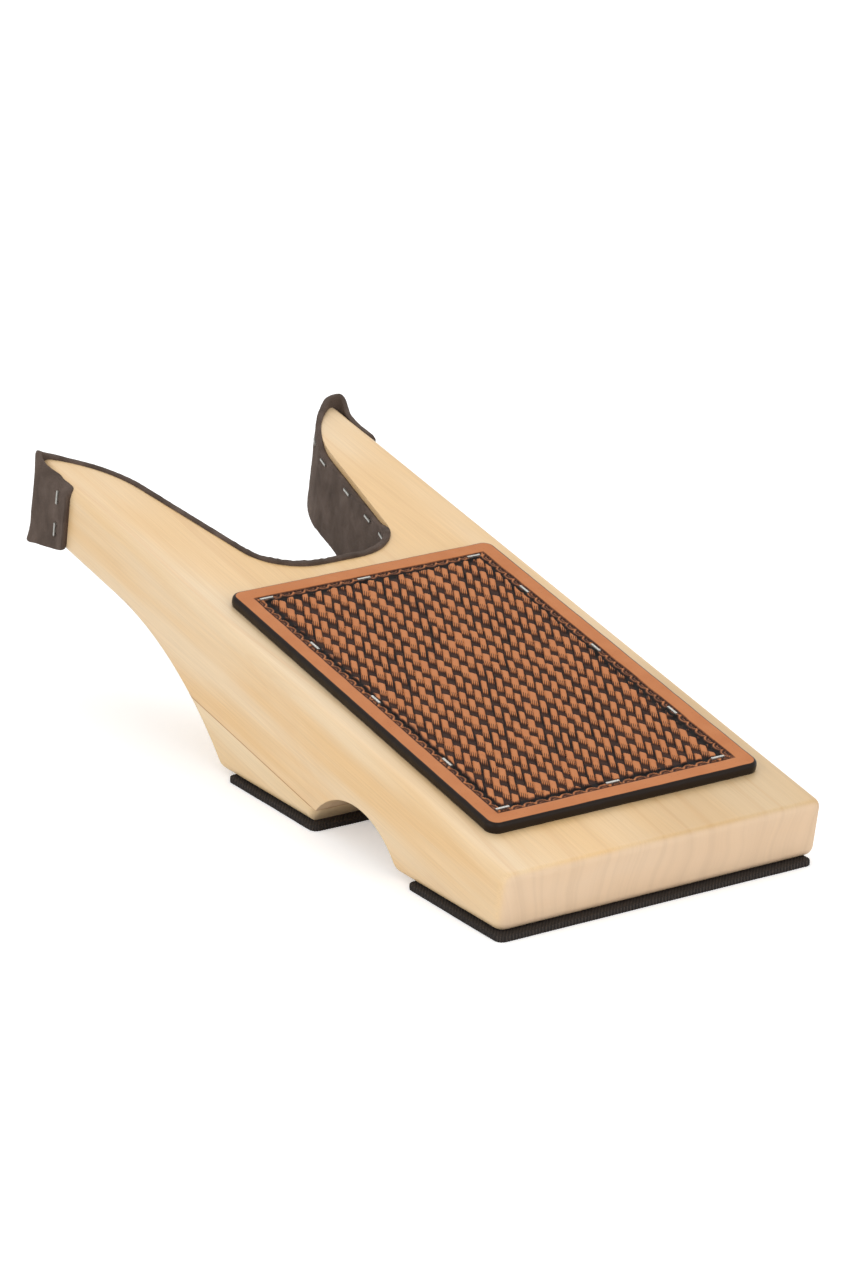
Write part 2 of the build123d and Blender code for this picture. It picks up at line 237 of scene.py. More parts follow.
def softwood(
    name, pale, warm, ring, end_tint, deep_corner, heart, ring_width, glue_side, seed
):
    """Make clear-finished softwood.

    heart is where the tree's centre lies, across and up, in mm. deep_corner is the share of each
    colour that the deepest wood keeps. glue_side is 1 for the wood above the glue line and -1 for
    the wood below it.
    """
    material, tree = new_material(name)
    place = add(tree, "TexCoord")
    turn_flat = Matrix.Rotation(-TILT, 3, "X")
    in_slope = add(tree, "Mapping", {}, {
        "Vector": place.outputs["Object"],
        "Location": turn_flat @ -SLOPE_ORIGIN,
        "Rotation": (-TILT, 0, 0),
    })
    grain = add(tree, "VectorMath", {"operation": "SCALE"}, {0: in_slope, "Scale": 1 / MM})
    parts = add(tree, "SeparateXYZ", {}, {0: grain})

    # Rings: distance from the heart, bent by a noise that is slow along the grain.
    slow = add(tree, "Mapping", {}, {
        "Vector": grain,
        "Location": (seed, seed, seed),
        "Scale": (1 / 70, 1 / 230, 1 / 42),
    })
    bend = add(tree, "TexNoise", {}, {"Vector": slow, "Scale": 1, "Detail": 2, "Roughness": 0.45})
    from_heart = add(tree, "Mapping", {}, {
        "Vector": grain,
        "Location": (-heart[0], 0, -heart[1]),
        "Scale": (1, 0, 1),
    })
    radius = add(tree, "VectorMath", {"operation": "LENGTH"}, {0: from_heart})
    bent = add(tree, "Math", {"operation": "MULTIPLY_ADD"}, {
        0: bend,
        1: RING_BEND,
        2: radius.outputs["Value"],
    })
    ring_count = add(tree, "Math", {"operation": "DIVIDE"}, {0: bent, 1: ring_width})
    bands = add(tree, "TexNoise", {"noise_dimensions": "1D"}, {
        "W": ring_count,
        "Scale": 1,
        "Detail": 3,
        "Roughness": 0.62,
    })
    late_wood = add(tree, "MapRange", SOFT_STEP, {
        "Value": bands,
        "From Min": 0.5,
        "From Max": 0.72,
    })

    # Fibres, drawn out along the grain, and slow patches of warmer wood.
    fibre_space = add(tree, "Mapping", {}, {
        "Vector": grain,
        "Scale": (1 / FIBRE_WIDTH, 1 / FIBRE_LENGTH, 1 / FIBRE_WIDTH),
    })
    fibres = add(tree, "TexNoise", {}, {
        "Vector": fibre_space,
        "Scale": 1,
        "Detail": 3,
        "Roughness": 0.6,
    })
    patch_space = add(tree, "Mapping", {}, {
        "Vector": grain,
        "Location": (seed * 3, 0, 0),
        "Scale": (1 / 38, 1 / 150, 1 / 13),
    })
    patches = add(tree, "TexNoise", {}, {
        "Vector": patch_space,
        "Scale": 1,
        "Detail": 2,
        "Roughness": 0.5,
    })
    patch_share = add(tree, "MapRange", SOFT_STEP, {
        "Value": patches,
        "From Min": 0.32,
        "From Max": 0.68,
    })
    ground = add(tree, "Mix", COLOUR_MIX, {
        "Factor": patch_share,
        COLOUR_A: linear(pale),
        COLOUR_B: linear(warm),
    })
    ring_share = add(tree, "Math", {"operation": "MULTIPLY"}, {0: late_wood, 1: RING_STRENGTH})
    ringed = add(tree, "Mix", COLOUR_MIX, {
        "Factor": ring_share,
        COLOUR_A: ground,
        COLOUR_B: linear(ring),
    })
    streak = add(tree, "MapRange", {}, {
        "Value": fibres,
        "From Min": 0.3,
        "From Max": 0.7,
        "To Min": 0.93,
        "To Max": 1.04,
    })
    streaked = add(tree, "VectorMath", {"operation": "SCALE"}, {0: ringed, "Scale": streak})

    # Deep corner: the plank is a shade deeper towards its tail, most of all on the right.
    toward = add(tree, "VectorMath", {"operation": "DOT_PRODUCT"}, {0: grain, 1: (0.6, -0.4, 0)})
    deep_share = add(tree, "MapRange", SOFT_STEP, {
        "Value": toward.outputs["Value"],
        "From Min": -20,
        "From Max": 8,
    })
    deep_tint = add(tree, "Mix", COLOUR_MIX, {
        "Factor": deep_share,
        COLOUR_A: (1, 1, 1, 1),
        COLOUR_B: (*deep_corner, 1),
    })
    toned = add(tree, "VectorMath", {"operation": "MULTIPLY"}, {0: streaked, 1: deep_tint})

    # End grain: where the surface faces along the fibres.
    facing = add(tree, "VectorMath", {"operation": "DOT_PRODUCT"}, {
        0: place.outputs["Normal"],
        1: UP_SLOPE,
    })
    along = add(tree, "Math", {"operation": "ABSOLUTE"}, {0: facing.outputs["Value"]})
    end_share = add(tree, "MapRange", SOFT_STEP, {
        "Value": along,
        "From Min": 0.45,
        "From Max": 0.95,
    })
    end_dark = add(tree, "MapRange", SOFT_STEP, {
        "Value": bands,
        "From Min": 0.35,
        "From Max": 0.75,
        "To Min": 1.02,
        "To Max": 0.945,
    })
    end_colour = add(tree, "VectorMath", {"operation": "SCALE"}, {
        0: linear(end_tint)[:3],
        "Scale": end_dark,
    })
    cut_share = add(tree, "Math", {"operation": "MULTIPLY"}, {0: end_share, 1: 0.85})
    faced = add(tree, "Mix", COLOUR_MIX, {
        "Factor": cut_share,
        COLOUR_A: toned,
        COLOUR_B: end_colour,
    })

    # The glue line: a brown hair's breadth where board and riser meet.
    off_line = add(tree, "Math", {"operation": "SUBTRACT"}, {0: parts.outputs["Z"], 1: GLUE_LEVEL})
    off_size = add(tree, "Math", {"operation": "MULTIPLY"}, {0: off_line, 1: glue_side})
    glue = add(tree, "MapRange", SOFT_STEP, {
        "Value": off_size,
        "From Min": GLUE_REACH,
        "From Max": 0.1,
        "To Max": 0.75,
    })
    near_riser = add(tree, "Math", {"operation": "GREATER_THAN"}, {
        0: parts.outputs["Y"],
        1: GLUE_START,
    })
    glue_share = add(tree, "Math", {"operation": "MULTIPLY"}, {0: glue, 1: near_riser})
    glued = add(tree, "Mix", COLOUR_MIX, {
        "Factor": glue_share,
        COLOUR_A: faced,
        COLOUR_B: linear("#B9824F"),
    })

    rough = add(tree, "MapRange", {}, {"Value": end_share, "To Min": 0.42, "To Max": 0.62})
    # Edges eased with sandpaper.
    eased = add(tree, "Bevel", {"samples": 4}, {"Radius": EDGE_EASING * MM})
    relief = add(tree, "Bump", {}, {
        "Height": fibres,
        "Strength": 0.3,
        "Distance": 0.00009,
        "Normal": eased,
    })
    surface = add(tree, "BsdfPrincipled", {}, {
        "Base Color": glued,
        "Roughness": rough,
        "Normal": relief,
        "IOR": 1.5,
        "Coat Weight": 0.12,
        "Coat Roughness": 0.25,
    })
    add(tree, "OutputMaterial", {}, {"Surface": surface})
    return material


riser_low, riser_high = slope_box("riser_block")
GLUE_LEVEL = riser_high[2]
GLUE_START = riser_low[1] - 2
board_wood = softwood(
    "clear_finished_softwood_board",
    pale="#EED3AC",
    warm="#EBC48D",
    ring="#DDB17C",
    end_tint="#E6C8A8",
    deep_corner=(0.83, 0.78, 0.69),
    heart=(-260, -12),
    ring_width=5.5,
    glue_side=1,
    seed=3.1,
)
riser_wood = softwood(
    "clear_finished_softwood_riser",
    pale="#F0D7B0",
    warm="#ECCD9E",
    ring="#E2BE8D",
    end_tint="#E3C8A2",
    deep_corner=(0.95, 0.94, 0.92),
    heart=(120, 90),
    ring_width=7.0,
    glue_side=-1,
    seed=8.4,
)
wear(frame["nodes"]["top_board"], board_wood)
wear(frame["nodes"]["riser_block"], riser_wood)
print("glue line", round(float(GLUE_LEVEL), 2), "mm from the top face")

# %% [markdown]
# ## Tooled leather tread
#
# The tread is one piece of thick vegetable-tanned leather. Its rim is left smooth. The panel inside
# is stamped while damp with a basket-weave tool, then a dark antiquing paste is rubbed over it and
# wiped off, so it stays in every hollow and comes off the high parts. A row of crescent stamps
# finishes the panel's edge. The cut edge is dyed black and burnished, and its corner is rounded.
#
# The relief is real geometry. The tread is a grid whose heights are worked out from the stamp's
# pattern: loops 8.7 mm long in slanting columns 2.83 mm apart, each column shifted by 5.24 mm from
# the one beside it. Each loop is a little out of place and size, as hand stamping leaves it. The
# same sums say how much paste is left at each point, from 0 for bare leather to 1 for black, with
# painted shade added in the grooves beside the loops and along the crescent row. This is kept as an
# attribute for the shader.

# %% The stamped relief
TREAD_THICKNESS = 4.0
SMOOTH_RIM = 7.0
STAMP_DEPTH = 1.05

# The basket-weave stamp, in mm.
LOOP_DIRECTION = math.radians(63)
COLUMN_PITCH = 2.83
COLUMN_SHIFT = 5.24
LOOP_REPEAT = 12.23
LOOP_LENGTH = 8.7
LOOP_WIDTH = 2.45
LOOP_SLANT = 0.5
LOOP_BELOW_RIM = 0.12
TAIL_DIP = 0.14
GROOVE_DEPTH = 0.22

# What the hand adds: drift over the panel, and each loop's own stray in mm and in share of size.
DRIFT_ACROSS, DRIFT_ALONG, DRIFT_SIZE = 0.25, 0.3, 9
STRAY_ACROSS, STRAY_ALONG = 0.22, 0.45
SIZE_ACROSS, SIZE_ALONG = 0.16, 0.08
HANDS = 128

# The crescent stamp, in mm: two ridges and a fan outside them.
CRESCENT_PITCH = 5.15
CRESCENT_REACH = 3.9
CRESCENT_STRAY = 0.25
OUTER_RIDGE, OUTER_WIDTH = 2.45, 0.48
INNER_RIDGE, INNER_WIDTH = 1.05, 0.42
FAN_PLACE, FAN_WIDTH, FAN_RAYS = 3.7, 0.75, 9

# How much paste stays in a loop's surroundings, in its grooves and round a crescent. The grooves'
# share is paste and painted shade beside each loop.
HOLLOW_PASTE, GROOVE_PASTE_AND_SHADE, CRESCENT_PASTE = 0.78, 0.42, 0.86
tread_from, tread_to = slope_box("tread_leather")
HALF_WIDTH = (tread_to[0] - tread_from[0]) / 2
HALF_LENGTH = (tread_to[1] - tread_from[1]) / 2
TREAD_MIDDLE = (tread_to[1] + tread_from[1]) / 2
PANEL_ACROSS = HALF_WIDTH - SMOOTH_RIM
PANEL_ALONG = HALF_LENGTH - SMOOTH_RIM
rng = np.random.default_rng(20)


def smooth(low, high, value):
    """Rise smoothly from 0 at low to 1 at high."""
    share = np.clip((value - low) / (high - low), 0, 1)
    return share * share * (3 - 2 * share)


def hump(value, middle, width):
    """Rise to 1 at the middle and fall away again over the width."""
    return np.exp(-(((value - middle) / width) ** 2))


def bumps(x, y, size, seed):
    """Give smooth random values from about -1 to 1 over a plane, with features of a given size."""
    table = np.random.default_rng(seed).uniform(-1, 1, (256, 256))
    gx, gy = x / size + 1000, y / size + 1000
    ix, iy = np.floor(gx).astype(int), np.floor(gy).astype(int)
    fx, fy = smooth(0, 1, gx - ix), smooth(0, 1, gy - iy)
    corner = [[table[(ix + i) % 256, (iy + j) % 256] for j in (0, 1)] for i in (0, 1)]
    near = corner[0][0] * (1 - fx) + corner[1][0] * fx
    far = corner[0][1] * (1 - fx) + corner[1][1] * fx
    return near * (1 - fy) + far * fy


def basket_weave(x, y):
    """Give the height, the paste with its painted shade, and the tool-line share at points of the
    panel.
    """
    cos_d, sin_d = math.cos(LOOP_DIRECTION), math.sin(LOOP_DIRECTION)
    x = x + DRIFT_ACROSS * bumps(x, y, DRIFT_SIZE, 4)
    y = y + DRIFT_ALONG * bumps(x, y, DRIFT_SIZE, 5)
    along = x * cos_d + y * sin_d
    across = x * sin_d - y * cos_d
    column = np.round(across / COLUMN_PITCH).astype(int)
    shifted = along + COLUMN_SHIFT * column
    row = np.round(shifted / LOOP_REPEAT).astype(int)
    hand = rng.uniform(-1, 1, (HANDS, HANDS, 5))[column % HANDS, row % HANDS]
    t = across - COLUMN_PITCH * column + STRAY_ACROSS * hand[..., 0]
    s = shifted - LOOP_REPEAT * row + STRAY_ALONG * hand[..., 1]
    slanted = s + LOOP_SLANT * t

    # Places in the loop: 0 in its middle and 1 at its side or its end.
    half_long = LOOP_LENGTH / 2 * (1 + SIZE_ALONG * hand[..., 3])
    side = np.abs(t) / (LOOP_WIDTH / 2 * (1 + SIZE_ACROSS * hand[..., 2]))
    end = np.abs(slanted) / half_long
    loop = (1 - smooth(0.82, 1.12, side)) * (1 - smooth(0.9, 1.03, end))
    crown = np.sqrt(np.clip(1 - (0.8 * side) ** 2, 0, 1)) * (1 - 0.45 * end**4)
    tail = smooth(0.2, 0.6, -slanted / half_long) * (side < 1)
    groove = hump(side, 1.22, 0.14) * (1 - smooth(0.9, 1.15, end))

    height = -STAMP_DEPTH + loop * (STAMP_DEPTH - LOOP_BELOW_RIM) * (0.45 + 0.55 * crown)
    height -= TAIL_DIP * tail * loop
    height -= GROOVE_DEPTH * groove
    wiping = 0.12 * bumps(x, y, 2.2, 6) + 0.1 * hand[..., 4]
    paste_and_shade = HOLLOW_PASTE - HOLLOW_PASTE * loop * (0.72 + 0.28 * crown)
    # The grooves beside each loop are darkened with paste and with painted shade.
    paste_and_shade = paste_and_shade + GROOVE_PASTE_AND_SHADE * groove + wiping * (0.3 + loop)
    paste_and_shade += 0.08 * loop * smooth(0.6, 1.0, end)
    return height, paste_and_shade, tail * loop


def crescents(x, y):
    """Give the height, paste and cover of the crescent stamps along the panel's edge."""
    from_side = PANEL_ACROSS - np.abs(x)
    from_end = PANEL_ALONG - np.abs(y)
    on_side = from_side < from_end
    inward = np.where(on_side, from_side, from_end)
    run = np.where(on_side, y, x)
    count = np.round(run / CRESCENT_PITCH).astype(int)
    stray = rng.uniform(-CRESCENT_STRAY, CRESCENT_STRAY, HANDS)[count % HANDS]
    local = run - CRESCENT_PITCH * count + stray
    radius = np.hypot(local, inward * 1.05)
    edge = np.hypot(local * 0.8, inward)
    cover = 1 - smooth(CRESCENT_REACH - 0.35, CRESCENT_REACH + 0.05, edge)
    ridge = hump(radius, OUTER_RIDGE, OUTER_WIDTH) + 0.75 * hump(radius, INNER_RIDGE, INNER_WIDTH)
    rays = 0.75 + 0.25 * np.cos(FAN_RAYS * np.arctan2(local, inward))
    fan = hump(radius, FAN_PLACE, FAN_WIDTH) * rays
    height = -STAMP_DEPTH + 0.05 + 0.62 * ridge + 0.08 * bumps(x, y, 0.9, 8)
    paste_and_shade = CRESCENT_PASTE - 0.74 * ridge + 0.12 * bumps(x, y, 1.3, 9) + 0.2 * fan
    return height, paste_and_shade, cover


def tread_relief(x, y):
    """Give the height above the rim, the paste with its painted shade, and the tool lines at points
    of the tread.
    """
    inside = np.minimum(PANEL_ACROSS - np.abs(x), PANEL_ALONG - np.abs(y))
    inside = inside + 0.12 * bumps(x, y, 6, 11)
    height, paste_and_shade, lines = basket_weave(x, y)
    edge_height, edge_paste, cover = crescents(x, y)
    height = height * (1 - cover) + edge_height * cover
    paste_and_shade = paste_and_shade * (1 - cover) + edge_paste * cover
    # Extra paste darkens a band about 3.5 mm inside the panel's edge, along the crescent row: paste
    # in the hollow, and painted shade.
    paste_and_shade = paste_and_shade + 0.3 * np.exp(-((inside / 3.0 - 1.15) ** 2) * 6)
    lines = lines * (1 - cover)

    # The rim, the line cut round the panel, and the step down from one to the other.
    cut_line = hump(inside, 0.15, 0.3)
    panel = smooth(-0.1, 0.35, inside)
    rim = 0.05 * bumps(x, y, 7, 12) + 0.02 * bumps(x, y, 1.6, 13) - 0.22 * smooth(-1.8, 0, inside)
    rim_paste = 0.02 + 0.1 * smooth(-1.3, 0, inside)
    height = height * panel + rim * (1 - panel) - 0.25 * cut_line
    paste_and_shade = paste_and_shade * panel + rim_paste * (1 - panel) + 0.9 * cut_line * (1 - panel * 0.5)
    return height, np.clip(paste_and_shade, 0, 1.2), lines * panel


# %% [markdown]
# The grid is fine over the panel and coarse over the rim. Its outer rows bend round the rounded
# corners, and a skirt carries them over the rounded edge, down the side and under. The leather is
# pressed up against the staples' crowns, so the relief is kept from falling away under them.

# %% Tread mesh
EDGE_ROUNDING = 1.5
CORNER_RADIUS = 4.5
GRID_STEP = 0.465
RIM_LINES = 9
STAPLES_IN_ROW = 3
PRESSED_DEPTH = 0.28


def keep_values(mesh, name, values):
    """Keep a number at each vertex, for a shader to read."""
    layer = mesh.attributes.new(name, "FLOAT", "POINT")
    layer.data.foreach_set("value", values.astype(np.float32))


def grid_stations(half, panel_half):
    """Place the grid's lines across one direction, close together over the panel."""
    inner = panel_half + 0.6
    fine = np.linspace(-inner, inner, int(2 * inner / GRID_STEP))
    rim = np.linspace(inner, half - EDGE_ROUNDING, RIM_LINES)[1:]
    return np.concatenate([-rim[::-1], fine, rim])


def round_corner(x, y, half_x, half_y, radius):
    """Bend the corner squares of a rectangle's grid into quarter discs."""
    a = np.clip((np.abs(x) - (half_x - radius)) / radius, 0, 1)
    b = np.clip((np.abs(y) - (half_y - radius)) / radius, 0, 1)
    both = (a > 0) & (b > 0)
    disc_x = half_x - radius + radius * a * np.sqrt(1 - b * b / 2)
    disc_y = half_y - radius + radius * b * np.sqrt(1 - a * a / 2)
    return np.where(both, np.sign(x) * disc_x, x), np.where(both, np.sign(y) * disc_y, y)


def staple_spots():
    """Give each tread staple's crown as its middle and half sizes, in slope coordinates."""
    spots = []
    for side in ("head", "tail", "left", "right"):
        points = slope_points(f"tread_staples_{side}")
        crown = points[points[:, 2] > TREAD_THICKNESS]
        spread = 1 if side in ("left", "right") else 0
        order = crown[crown[:, spread].argsort()]
        for group in np.array_split(order, STAPLES_IN_ROW):
            spots.append(((group.min(0) + group.max(0)) / 2, (group.max(0) - group.min(0)) / 2))
    return spots


grid_x, grid_y = np.meshgrid(
    grid_stations(HALF_WIDTH, PANEL_ACROSS),
    grid_stations(HALF_LENGTH, PANEL_ALONG),
    indexing="ij",
)
nx, ny = grid_x.shape
height, paste_and_shade, lines = tread_relief(grid_x, grid_y)
for middle, half in staple_spots():
    off_x = np.maximum(np.abs(grid_x - middle[0]) - half[0], 0)
    off_y = np.maximum(np.abs(grid_y - (middle[1] - TREAD_MIDDLE)) - half[1], 0)
    press = 1 - smooth(0.1, 1.3, np.hypot(off_x, off_y))
    height = height * (1 - press) + np.maximum(height, -PRESSED_DEPTH) * press
flat_half = (HALF_WIDTH - EDGE_ROUNDING, HALF_LENGTH - EDGE_ROUNDING)
bent_x, bent_y = round_corner(grid_x, grid_y, *flat_half, CORNER_RADIUS - EDGE_ROUNDING)
top = np.stack([bent_x, bent_y + TREAD_MIDDLE, TREAD_THICKNESS + height], -1).reshape(-1, 3)

index = np.arange(nx * ny).reshape(nx, ny)
corners = (index[:-1, :-1], index[1:, :-1], index[1:, 1:], index[:-1, 1:])
quads = np.stack(corners, -1).reshape(-1, 4)
rim_loop = np.concatenate([index[:, 0], index[-1, 1:], index[-2::-1, -1], index[0, -2:0:-1]])
rim_points = top[rim_loop]
reach = np.array([HALF_WIDTH - CORNER_RADIUS, HALF_LENGTH - CORNER_RADIUS])
flat_rim = rim_points[:, :2] - np.array([0, TREAD_MIDDLE])
outward = flat_rim - np.clip(flat_rim, -reach, reach)
outward /= np.linalg.norm(outward, axis=1, keepdims=True)

edge_profile = [
    (EDGE_ROUNDING * math.sin(a), -EDGE_ROUNDING * (1 - math.cos(a)))
    for a in np.radians([22, 45, 68, 90])
]
edge_profile += [(1.56, -2.2), (1.5, -3.1), (1.3, -3.95), (0.2, -4.0)]
points, faces = [top], [quads]
last_loop = rim_loop
run = np.arange(len(rim_loop)) * GRID_STEP
for step, (out, drop) in enumerate(edge_profile):
    wobble = 0.06 * bumps(run, run * 0 + step * 0.7, 3.5, 21)
    ring = rim_points.copy()
    ring[:, :2] += outward * (out + wobble)[:, None]
    ring[:, 2] += drop - (rim_points[:, 2] - TREAD_THICKNESS) * min(1, -drop / 2)
    first = sum(len(p) for p in points)
    loop = np.arange(first, first + len(ring))
    faces.append(np.stack([last_loop, loop, np.roll(loop, -1), np.roll(last_loop, -1)], -1))
    points.append(ring)
    last_loop = loop
tread_mesh = bpy.data.meshes.new("tooled_leather_tread")
underside = [last_loop[::-1].tolist()]
tread_mesh.from_pydata(
    np.concatenate(points).tolist(), [], np.concatenate(faces).tolist() + underside
)
tread_mesh.transform(SLOPE)
tread_mesh.update()
skirt = np.zeros(len(tread_mesh.vertices) - len(top))
keep_values(tread_mesh, "paste_and_shade", np.concatenate([paste_and_shade.ravel(), skirt]))
keep_values(tread_mesh, "tool_lines", np.concatenate([lines.ravel(), skirt]))
keep_values(tread_mesh, "black_edge", np.concatenate([np.zeros(len(top)), skirt + 1]))
tread_mesh.polygons.foreach_set("use_smooth", [True] * len(tread_mesh.polygons))
tread = place_object("tooled_leather_tread", tread_mesh)
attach(tread, "root")
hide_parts("tread_leather")
print(f"tread grid {nx} by {ny}, {len(tread_mesh.polygons)} faces")
print(f"relief {height.min():.2f} to {height.max():.2f} mm")

# %% [markdown]
# The leather's colour comes from the attribute of paste and painted shade: bare tan where it was
# wiped off, through a red brown, to nearly black in the deepest cuts, which is partly paste and
# partly painted shade. The stamp's tail leaves three or four fine lines in each loop, finer than
# the mesh, so they are drawn in the shader along the loops' direction.
# Pores and a slow mottling keep the rim from looking painted. Paste in the hollows dries matt, and
# the wiped tan keeps a low polish. The black edge is burnished, so it is the smoothest part.

# %% Leather material
LINE_PITCH = 0.66
leather, tree = new_material("antiqued_vegetable_tanned_leather")
flat = in_millimetres(tree)
paste_and_shade_left = add(tree, "Attribute", {"attribute_name": "paste_and_shade"})
tool_lines = add(tree, "Attribute", {"attribute_name": "tool_lines"})
edge_share = add(tree, "Attribute", {"attribute_name": "black_edge"})
along_loops = add(tree, "Mapping", {}, {
    "Vector": flat,
    "Rotation": (0, 0, math.pi / 2 - LOOP_DIRECTION),
})
line_waves = add(tree, "TexWave", LINES, {
    "Vector": along_loops,
    "Scale": WAVES_PER_MM / LINE_PITCH,
    "Distortion": 1.2,
    "Detail": 1,
    "Detail Scale": 0.5,
})
fine_line = add(tree, "MapRange", SOFT_STEP, {
    "Value": line_waves.outputs["Fac"],
    "From Min": 0.45,
    "From Max": 0.85,
})
line_share = add(tree, "Math", {"operation": "MULTIPLY"}, {
    0: fine_line,
    1: tool_lines.outputs["Fac"],
})
grain = add(tree, "TexNoise", {}, {"Vector": flat, "Scale": 1.5, "Detail": 4, "Roughness": 0.62})
mottle = add(tree, "TexNoise", {}, {"Vector": flat, "Scale": 0.11, "Detail": 3, "Roughness": 0.55})
pores = add(tree, "TexVoronoi", {}, {"Vector": flat, "Scale": 0.62, "Randomness": 1})
pore_share = add(tree, "MapRange", SOFT_STEP, {
    "Value": pores.outputs["Distance"],
    "From Min": 0.17,
    "From Max": 0.05,
    "To Max": 0.35,
})
with_lines = add(tree, "Math", {"operation": "MULTIPLY_ADD"}, {
    0: line_share,
    1: 0.62,
    2: paste_and_shade_left.outputs["Fac"],
})
grain_part = add(tree, "MapRange", {}, {"Value": grain, "To Min": -0.13, "To Max": 0.13})
stain_and_shade = add(tree, "Math", {"operation": "ADD"}, {0: with_lines, 1: grain_part})
tan = add(tree, "Mix", COLOUR_MIX, {
    "Factor": mottle,
    COLOUR_A: linear("#BA6F3F"),
    COLOUR_B: linear("#CC8553"),
})
# The darkest stops are paste in the deepest cuts and also painted shade in them.
shades = add(tree, "ValToRGB", {}, {"Fac": stain_and_shade}, [
    (0.2, "#B06E42"),
    (0.38, "#8A5536"),
    (0.55, "#583524"),
    (0.75, "#3C2419"),
    (0.9, "#27160F"),
    (1.0, "#0E0705"),
])
dark_cover = add(tree, "MapRange", SOFT_STEP, {"Value": stain_and_shade, "From Min": 0.15, "From Max": 0.38})
coloured = add(tree, "Mix", COLOUR_MIX, {"Factor": dark_cover, COLOUR_A: tan, COLOUR_B: shades})
pored = add(tree, "Mix", COLOUR_MIX, {
    "Factor": pore_share,
    COLOUR_A: coloured,
    COLOUR_B: linear("#7A4A30"),
})
edge_line = add(tree, "MapRange", SOFT_STEP, {
    "Value": edge_share.outputs["Fac"],
    "From Min": 0.35,
    "From Max": 0.8,
})
final = add(tree, "Mix", COLOUR_MIX, {
    "Factor": edge_line,
    COLOUR_A: pored,
    COLOUR_B: linear("#241B15"),
})
gloss = add(tree, "MapRange", {}, {"Value": stain_and_shade, "To Min": 0.5, "To Max": 0.62})
edge_gloss = add(tree, "Mix", NUMBER_MIX, {"Factor": edge_line, NUMBER_A: gloss, NUMBER_B: 0.3})
line_height = add(tree, "Math", {"operation": "MULTIPLY_ADD"}, {0: line_share, 1: -1.6, 2: grain})
pore_height = add(tree, "Math", {"operation": "SUBTRACT"}, {0: line_height, 1: pore_share})
relief = add(tree, "Bump", {}, {"Height": pore_height, "Strength": 0.6, "Distance": 0.00009})
surface = add(tree, "BsdfPrincipled", {}, {
    "Base Color": final,
    "Specular IOR Level": 0.16,
    "Roughness": edge_gloss,
    "Normal": relief,
})
add(tree, "OutputMaterial", {}, {"Surface": surface})
wear(tread, leather)

# %% [markdown]
# ## Suede jaw lining
#
# The jaw is lined with one strip of thick, dark suede, stapled along its top edge. It starts
# outside one tip, wraps round it, runs down the jaw, round the throat and up the other side. Suede
# is the split's fleshy side, so it has a short nap that catches light wherever a finger or a
# tool has brushed it, and no grain. Scissors leave its edges slightly ragged.
#
# The strip's path is the board's own outline, cut from the CAD board at a depth clear of staples
# and rounded edges. The strip is then built out from it, section by section: its top edge follows
# the board's top inside the jaw, a little lower on the right arm, stands up in a peak at the tips,
# and rolls over the arris outside them. Its lower edge hangs free under the arms and curls a little
# away at the tips.

# %% The jaw's outline
OUTLINE_DEPTH = 12.0
LINING_THICKNESS = 2.2
LINING_FOOT = 33.4
FLAP_END_DEPTH = 25.8
FLAP_TOP_GAP = 0.8
LINING_PROUD = 0.6
RIGHT_SAG = 3.0
ARRIS_RADIUS = 4.5
STATION_STEP = 0.75
OUTLINE_STEP = 0.25
LONGEST_WALK = 5000

cut = bmesh.new()
cut.from_mesh(frame["nodes"]["top_board"].data)
cut.transform(SLOPE.inverted())
sliced = bmesh.ops.bisect_plane(
    cut,
    geom=cut.verts[:] + cut.edges[:] + cut.faces[:],
    plane_co=(0, 0, -OUTLINE_DEPTH),
    plane_no=(0, 0, 1),
    clear_inner=True,
    clear_outer=True,
)
edges = [e for e in sliced["geom_cut"] if isinstance(e, bmesh.types.BMEdge)]
neighbours = {}
for edge in edges:
    a, b = (tuple(round(c, 3) for c in v.co.xy) for v in edge.verts)
    if a != b:
        neighbours.setdefault(a, set()).add(b)
        neighbours.setdefault(b, set()).add(a)
cut.free()
lining_points = slope_points("jaw_lining")
outside = np.abs(lining_points[:, 0]) > BOARD_WIDTH / 2 + 1
FLAP_END = lining_points[outside, 1].min()

# Walk round the cut from the throat's middle, towards the right first.
start = min(neighbours, key=lambda p: (abs(p[0]), -p[1] if p[1] > BOARD_LENGTH / 3 else 1e6))
walk = [start]
before, here = None, start
while True:
    onward = [p for p in neighbours[here] if p != before]
    onward = onward[0] if before or onward[0][0] > here[0] else onward[-1]
    if onward == start or len(walk) > LONGEST_WALK:
        break
    walk.append(onward)
    before, here = here, onward
outline = np.array(walk)
print(f"outline of {len(outline)} points, flap from {FLAP_END:.1f} mm up the slope")

# %% [markdown]
# The outline is cut down to the stretch that the strip covers and measured off in equal steps.


# %% Stations along the strip
def measure(points):
    """Give each point's distance along a line of points."""
    return np.concatenate([[0], np.cumsum(np.linalg.norm(np.diff(points, axis=0), axis=1))])


def resample(points, distances, steps):
    """Give the points that lie at some distances along a line of points."""
    return np.stack([np.interp(steps, distances, points[:, i]) for i in (0, 1)], -1)


def relax(values, times):
    """Average each value but the ends with its neighbours, several times over."""
    for _ in range(times):
        values[1:-1] = values[1:-1] * 0.5 + (values[:-2] + values[2:]) * 0.25
    return values


